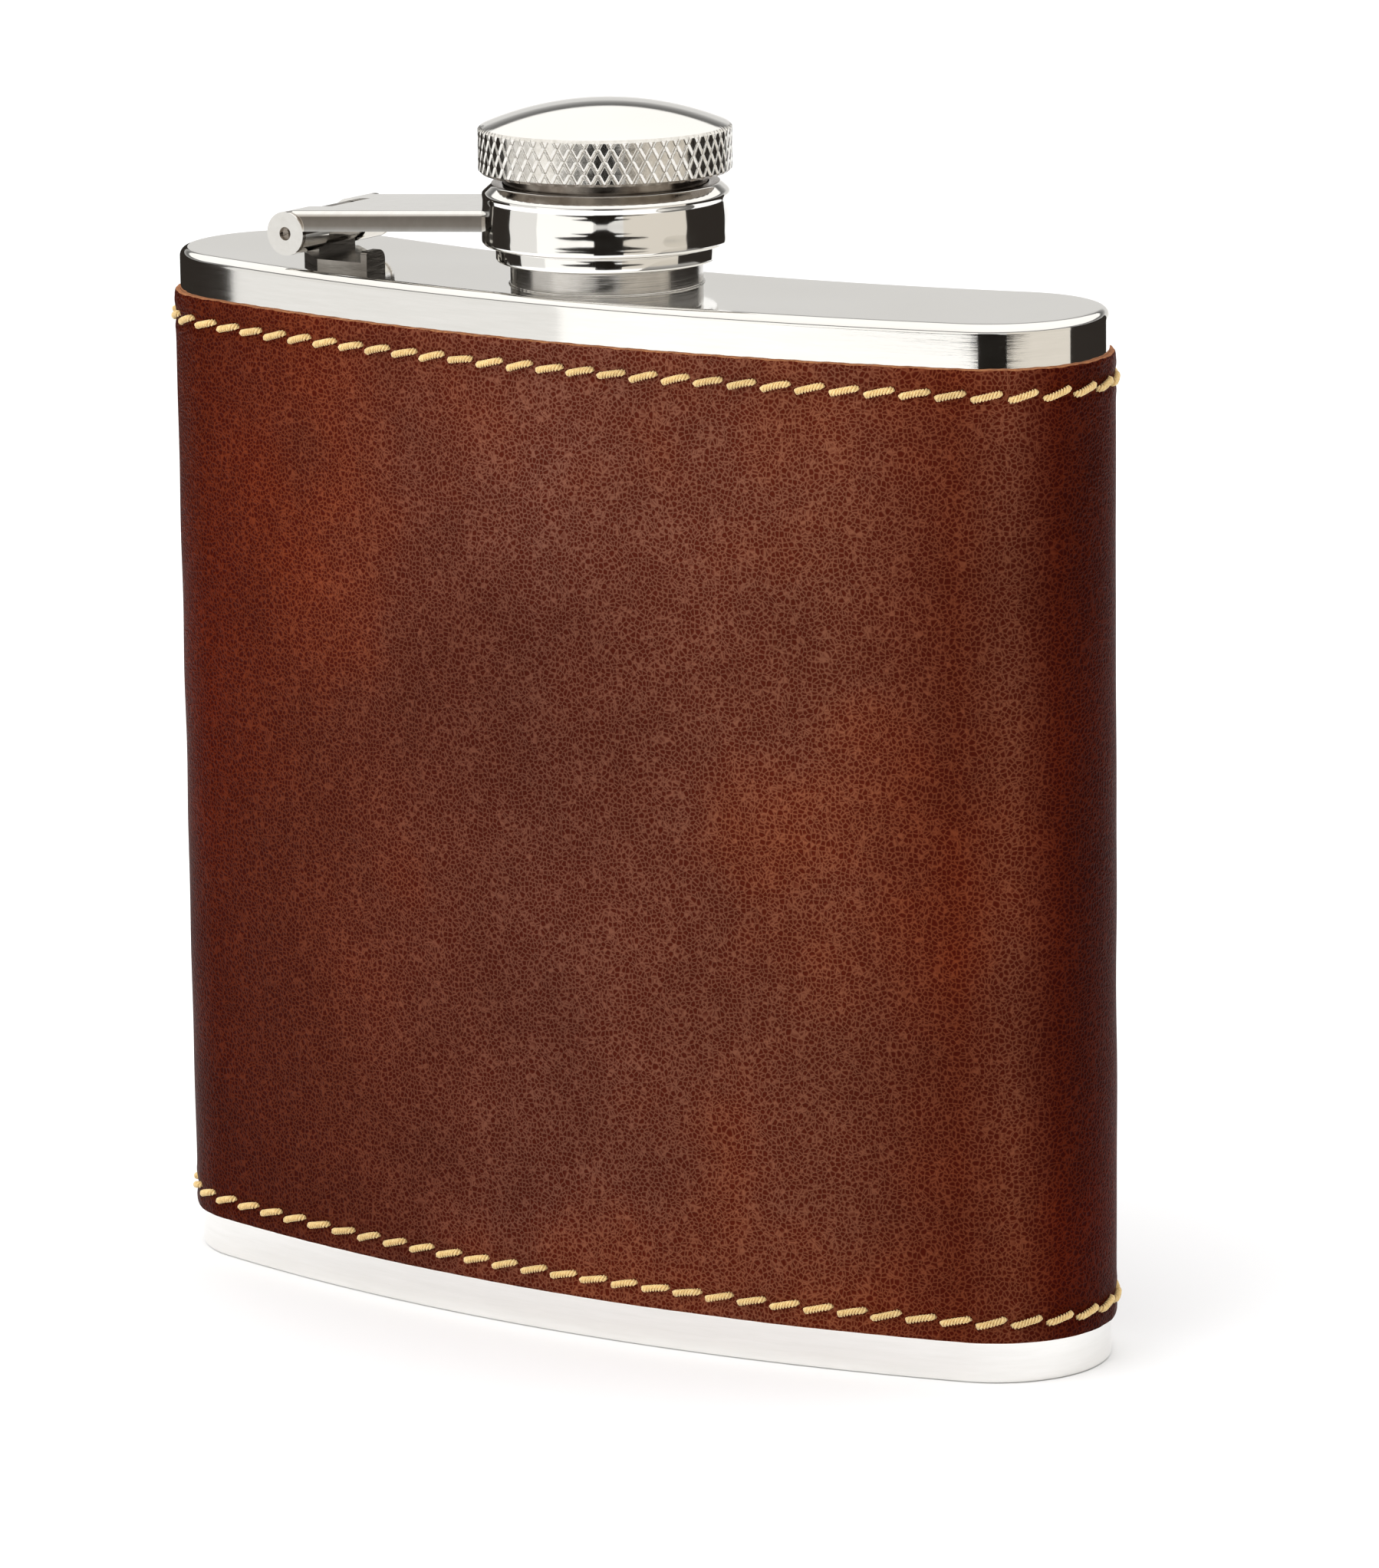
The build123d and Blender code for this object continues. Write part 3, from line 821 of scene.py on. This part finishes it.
def weld():
    """The weld bead where the collar meets the lid, with its small ripples."""
    bead = (weld_high.x - weld_low.x) / 2 - COLLAR_RADIUS
    profile = [(COLLAR_RADIUS - 0.05, 0.0), (COLLAR_RADIUS + 0.4 * bead, 0.0)]
    for step in range(7):
        turn = pi / 2 * step / 6
        profile.append((COLLAR_RADIUS + 0.35 * bead * cos(turn), 0.02 + 0.35 * bead * sin(turn)))
    profile.append((COLLAR_RADIUS - 0.05, 0.35 * bead))

    def bend(angles, radius, heights):
        return radius + 0.012 * np.sin(angles * 88) * (radius > COLLAR_RADIUS)

    lathe("spout_weld_bead", profile, "flask", TURNED, ["spout_weld"], 528, bend)


def polish_waves(angles, heights, seed, size):
    """The faint unevenness that hand polishing leaves, as a change of radius."""
    rng = np.random.default_rng(seed)
    wave = 0
    for _ in range(10):
        around = rng.integers(5, 26)
        up = rng.uniform(1.0, 4.2)
        phase = rng.uniform(0, 2 * pi)
        wave = wave + np.sin(around * angles + up * heights + phase) / around
    return size * wave


def ring():
    low, high = ring_low.z - LID, ring_high.z - LID
    shoulder = high - RING_BEVEL
    bevel = RING_RADIUS - RING_BEVEL
    middle = (low + shoulder) / 2
    profile = rounded((RING_RADIUS, low), (RING_BORE, low), (RING_RADIUS, high), RING_EDGE, 8)
    profile += between((RING_RADIUS, low + RING_EDGE), (RING_RADIUS, shoulder - 0.25), 46)
    for step in range(9):
        turn = pi / 4 * step / 8
        profile.append((RING_RADIUS - 0.6 * (1 - cos(turn)), shoulder - 0.25 + 0.6 * sin(turn)))
    profile += between(profile[-1], (bevel, high - 0.08), 5) + [(bevel, high - 0.08)]
    profile += [(bevel - 0.03, high - 0.02), (bevel - 0.1, high), (RING_BORE + 0.12, high)]
    profile += [(RING_BORE + 0.03, high - 0.04), (RING_BORE, high - 0.12), (RING_BORE, low + 0.12)]
    profile += [(RING_BORE + 0.03, low + 0.04), (RING_BORE + 0.12, low)]

    def bend(angles, radius, heights):
        swell = 0.026 * np.cos(2 * pi * (heights - middle + 0.15) / 2.9)
        lean = -0.035 * (heights - middle)
        wobble = polish_waves(angles, heights, 5, 0.006)
        outside = (radius > RING_RADIUS - 0.02) & (heights < shoulder)
        fade = np.clip((heights - low) / 0.6, 0, 1) * np.clip((shoulder - heights) / 0.6, 0, 1)
        return radius + np.where(outside, fade * (swell + lean + wobble), 0)

    obj = lathe(
        "polished_ring", profile, "arm", POLISHED, ["swivel_ring"],
        columns=512, bend=bend,
    )
    # painted shade: the ring's inner top and bore get the dark shaded steel
    recoat(obj, SHADED, lambda radius, height: (radius < bevel - 0.05) & (height > low + 0.2))


def sleeve():
    low, high = sleeve_low.z - LID, sleeve_high.z - LID
    under = high - HEAD_WALL
    lower = (FLANGE_RADIUS, low)
    upper = (FLANGE_RADIUS, FLANGE_TOP)
    profile = rounded(lower, (SLEEVE_BORE, low), upper, FLANGE_EDGE)
    profile += rounded(upper, lower, (SLEEVE_RADIUS, FLANGE_TOP), FLANGE_EDGE)
    profile += [(SLEEVE_RADIUS, FLANGE_TOP), (SLEEVE_RADIUS, high), (0.001, high), (0.001, under)]
    profile += [(SLEEVE_BORE, under)]
    profile += between((SLEEVE_BORE, under), (SLEEVE_BORE, low), 120)
    profile += rounded((SLEEVE_BORE, low), (SLEEVE_BORE, under), (FLANGE_RADIUS, low), 0.2)
    bend = helix(*SLEEVE_THREAD, SLEEVE_ROOT - SLEEVE_BORE)
    obj = lathe("threaded_sleeve", profile, "cap", POLISHED, ["cap_sleeve"], 224, bend)
    # painted shade: the sleeve between the flange and the cap gets the dark shaded steel
    recoat(obj, SHADED, lambda radius, height: (radius < FLANGE_RADIUS - 0.3) & (height > FLANGE_TOP + 0.1))


def knurl(angles, radius, heights):
    """Two crossing families of V grooves on the rim, which leave flat-topped diamonds."""
    low = head_low.z - LID
    width = 2 * pi * HEAD_RADIUS / KNURLS
    across = angles * KNURLS / (2 * pi)
    up = (heights - low) / KNURL_RISE
    depth = 0
    for lean in (-1, 1):
        phase = across + lean * up
        off = np.abs(phase - np.round(phase)) * width * cos(radians(28))
        depth = np.maximum(depth, np.clip(1 - 2 * off / KNURL_GROOVE, 0, 1))
    edge = np.clip((radius - HEAD_RADIUS + HEAD_CHAMFER) / HEAD_CHAMFER, 0, 1)
    return radius - KNURL_DEPTH * depth * edge


def head():
    low = head_low.z - LID
    apex = head_high.z - LID
    rim = HEAD_RADIUS - HEAD_CHAMFER
    rise = apex - HEAD_SHOULDER
    ball = (rim * rim + rise * rise) / (2 * rise)

    def dome(radius, size):
        return (max(radius, 0.001), apex - ball + sqrt(size * size - radius * radius))

    inner = HEAD_RADIUS - HEAD_WALL
    profile = [(SLEEVE_RADIUS, low + HEAD_WALL), (SLEEVE_RADIUS, low), (rim, low)]
    side_low = (HEAD_RADIUS, low + HEAD_CHAMFER)
    side_high = (HEAD_RADIUS, HEAD_SHOULDER - HEAD_CHAMFER)
    profile += between(profile[-1], side_low, 2) + [side_low] + between(side_low, side_high, 70)
    profile += [side_high] + between(side_high, dome(rim, ball), 2)
    profile += [dome(rim * (1 - i / 28), ball) for i in range(29)]
    profile += [dome(inner * i / 12, ball - DOME_WALL) for i in range(13)]
    profile += [(inner, low + HEAD_WALL)]
    obj = lathe(
        "knurled_cap", profile, "cap", POLISHED, ["cap_head"],
        columns=KNURLS * 20, bend=knurl, smooth_angle=28,
    )
    recoat(obj, KNURLED, lambda radius, height: (radius > rim - 0.02) & (height > low + 0.2))
    # painted shade: the cap's underside gets the dark shaded steel
    recoat(obj, SHADED, lambda radius, height: (height < low + 0.22) & (radius < HEAD_RADIUS))


# ======================= carried-over CAD nodes =======================
def paint(node, material, edge=0.0):
    """Gives a CAD node its material, and rounds its sharp edges by the given width."""
    obj = frame["nodes"][node]
    obj.data.materials.clear()
    obj.data.materials.append(material)
    if edge:
        bevel = obj.modifiers.new("worn_edges", "BEVEL")
        bevel.width = edge * MM
        bevel.segments = 3
        bevel.limit_method = "ANGLE"
        bevel.angle_limit = radians(40)
        bevel.harden_normals = True


def carried():
    # the arm's steel carries a painted dark reflection down its two sides
    paint("hinge_arm", ARM, 0.26)
    # painted shade: the pin in its knuckle gets the dark shaded steel
    paint("hinge_pin", SHADED, 0.05)
    paint("hinge_bracket", DARK, 0.12)
    paint("cap_gasket", SILICONE, 0.2)


# ======================= studio =======================
CAMERA_PLACE = (410.8, -596.3, 202.5)
CAMERA_YAW = 34.003
CAMERA_PITCH = 12.105
CAMERA_ROLL = -0.71
LENS = 194.05


def camera():
    yaw, pitch, roll = (radians(a) for a in (CAMERA_YAW, CAMERA_PITCH, CAMERA_ROLL))
    back = Vector((sin(yaw) * cos(pitch), -cos(yaw) * cos(pitch), sin(pitch)))
    side = (-back).cross(Vector((0, 0, 1))).normalized()
    up = side.cross(-back)
    right = side * cos(roll) + up * sin(roll)
    top = up * cos(roll) - side * sin(roll)
    data = bpy.data.cameras.new("camera")
    data.lens = LENS
    data.sensor_width = 36
    data.clip_start = 0.01
    data.clip_end = 20
    obj = bpy.data.objects.new("camera", data)
    bpy.context.scene.collection.objects.link(obj)
    turn = Matrix((right, top, back)).transposed().to_4x4()
    obj.matrix_world = Matrix.Translation(Vector(CAMERA_PLACE) * MM) @ turn
    bpy.context.scene.camera = obj


def glow(name, colour, strength):
    material = bpy.data.materials.new(name)
    material.use_nodes = True
    tree = material.node_tree
    tree.nodes.clear()
    shader = tree.nodes.new("ShaderNodeEmission")
    shader.inputs["Color"].default_value = (*colour, 1)
    shader.inputs["Strength"].default_value = strength
    out = tree.nodes.new("ShaderNodeOutputMaterial")
    tree.links.new(shader.outputs[0], out.inputs[0])
    return material


def card(name, start, finish, radius, colour, strength=1.0):
    """An upright curved card, seen only in reflections; 0 degrees is in front, 90 is to +X."""
    steps = 24
    angle = np.radians(np.linspace(start, finish, steps))
    ring_points = np.stack([radius * np.sin(angle), -radius * np.cos(angle)], 1)
    verts = [(x, y, z) for z in (0, CARD_HEIGHT) for x, y in ring_points]
    mesh = bpy.data.meshes.new(name)
    mesh.from_pydata((np.array(verts) * MM).tolist(), [], grid_faces(2, steps, False, False))
    mesh.materials.append(glow(name, colour, strength))
    stand(name, mesh)


def stand(name, mesh):
    """Puts up a card that only mirror reflections see."""
    obj = bpy.data.objects.new(name, mesh)
    bpy.context.scene.collection.objects.link(obj)
    obj.visible_camera = False
    obj.visible_diffuse = False
    obj.visible_transmission = False
    obj.visible_shadow = False


def shaped_card(name, outline, radius, colour):
    """A curved card cut to an outline of (degrees, height)."""
    verts = [(radius * sin(radians(a)), -radius * cos(radians(a)), z) for a, z in outline]
    mesh = bpy.data.meshes.new(name)
    mesh.from_pydata((np.array(verts) * MM).tolist(), [], [tuple(range(len(verts)))])
    mesh.materials.append(glow(name, colour, 1.0))
    stand(name, mesh)


def floor():
    """A white disc, wide enough to fill the picture below the horizon."""
    steps = 96
    angle = np.linspace(0, 2 * pi, steps, endpoint=False)
    verts = [(FLOOR_RADIUS * cos(a), FLOOR_RADIUS * sin(a), 0) for a in angle]
    mesh = bpy.data.meshes.new("floor")
    mesh.from_pydata(verts, [], [tuple(range(steps))])
    n = Nodes("white_floor")
    tone = n.ramp(n.noise(3, 2), [(0.3, grey(0.93)), (0.7, grey(0.95))])
    mesh.materials.append(n.set(Base_Color=tone, Roughness=0.9, Specular_IOR_Level=0.1))
    obj = bpy.data.objects.new("floor", mesh)
    bpy.context.scene.collection.objects.link(obj)


def softbox(name, place, target, size, power):
    data = bpy.data.lights.new(name, "AREA")
    data.shape = "RECTANGLE"
    data.size, data.size_y = size
    data.energy = power
    obj = bpy.data.objects.new(name, data)
    bpy.context.scene.collection.objects.link(obj)
    obj.location = place
    obj.rotation_euler = (Vector(target) - Vector(place)).to_track_quat("-Z", "Y").to_euler()
    obj.visible_glossy = False
    return obj


def world():
    """White light all round; mirror reflections see a studio with a dim band and a bright roof."""
    made = bpy.data.worlds.new("studio")
    bpy.context.scene.world = made
    made.use_nodes = True
    tree = made.node_tree
    tree.nodes.clear()
    place = tree.nodes.new("ShaderNodeTexCoord")
    split = tree.nodes.new("ShaderNodeSeparateXYZ")
    tree.links.new(place.outputs["Generated"], split.inputs[0])
    height = tree.nodes.new("ShaderNodeMapRange")
    height.inputs["From Min"].default_value = -1
    tree.links.new(split.outputs["Z"], height.inputs["Value"])
    ramp = tree.nodes.new("ShaderNodeValToRGB")
    tree.links.new(height.outputs["Result"], ramp.inputs["Fac"])
    elements = ramp.color_ramp.elements
    while len(elements) < len(STUDIO_BANDS):
        elements.new(0.5)
    for element, (elevation, value) in zip(elements, STUDIO_BANDS):
        element.position = 0.5 + sin(radians(elevation)) / 2
        element.color = (value, value * 0.985, value * 0.955, 1)
    studio = tree.nodes.new("ShaderNodeBackground")
    tree.links.new(ramp.outputs["Color"], studio.inputs["Color"])
    lit = background(tree, DAYLIGHT)
    seen = background(tree, 1.1)
    path = tree.nodes.new("ShaderNodeLightPath")
    mirrored = tree.nodes.new("ShaderNodeMixShader")
    tree.links.new(path.outputs["Is Glossy Ray"], mirrored.inputs[0])
    tree.links.new(lit.outputs[0], mirrored.inputs[1])
    tree.links.new(studio.outputs[0], mirrored.inputs[2])
    direct = tree.nodes.new("ShaderNodeMixShader")
    tree.links.new(path.outputs["Is Camera Ray"], direct.inputs[0])
    tree.links.new(mirrored.outputs[0], direct.inputs[1])
    tree.links.new(seen.outputs[0], direct.inputs[2])
    out = tree.nodes.new("ShaderNodeOutputWorld")
    tree.links.new(direct.outputs[0], out.inputs["Surface"])


def background(tree, strength):
    node = tree.nodes.new("ShaderNodeBackground")
    node.inputs["Color"].default_value = (1, 1, 1, 1)
    node.inputs["Strength"].default_value = strength
    return node


# (elevation in degrees, brightness) seen in mirror reflections
STUDIO_BANDS = [
    (-90, 1.0),
    (-3, 1.0),
    (4, 0.74),
    (10, 0.74),
    (13, 0.40),
    (17, 0.20),
    (20, 0.15),
    (21.5, 1.2),
    (90, 1.3),
]
DAYLIGHT = 0.64
FLAG_BLACK = (0.031, 0.026, 0.022)
CARD_WHITE = (1.0, 0.985, 0.955)
CARD_HEIGHT = 170
FLOOR_RADIUS = 1.3
# the dark shape of the camera and its stand, as (degrees, height)
STAND_SHAPE = [
    (23, 0), (50, 0), (50, 26), (58, 32), (74, 40), (68, 48), (52, 53), (44, 58), (42, 66),
    (58, 76), (42, 86), (35, 108), (26, 108), (21, 90), (2, 79), (18, 68), (15, 59), (2, 53),
    (-14, 44), (-8, 34), (14, 29), (23, 24),
]


def studio():
    camera()
    world()
    floor()
    softbox("top_softbox", (0, 0, 2.0), (0, 0, 0), (3.0, 3.0), 42)
    softbox("front_softbox", (-0.45, -0.95, 0.75), (0, 0, 0.05), (1.4, 1.0), 7.0)
    card("left_flag", -136, -65, 420, FLAG_BLACK)
    card("soft_card", -65, -32, 425, CARD_WHITE, 0.92)
    card("right_flag", 113, 176, 420, FLAG_BLACK)
    card("white_card", -32, 23, 430, CARD_WHITE, 1.25)
    card("warm_card", 50, 113, 425, (0.82, 0.765, 0.68))
    shaped_card("camera_stand", STAND_SHAPE, 410, (0.012, 0.010, 0.008))
    bpy.context.scene.view_settings.view_transform = "Standard"


body_wall()
lid()
base()
leather_wrap()
stitching()
spout()
weld()
ring()
sleeve()
head()
carried()
studio()
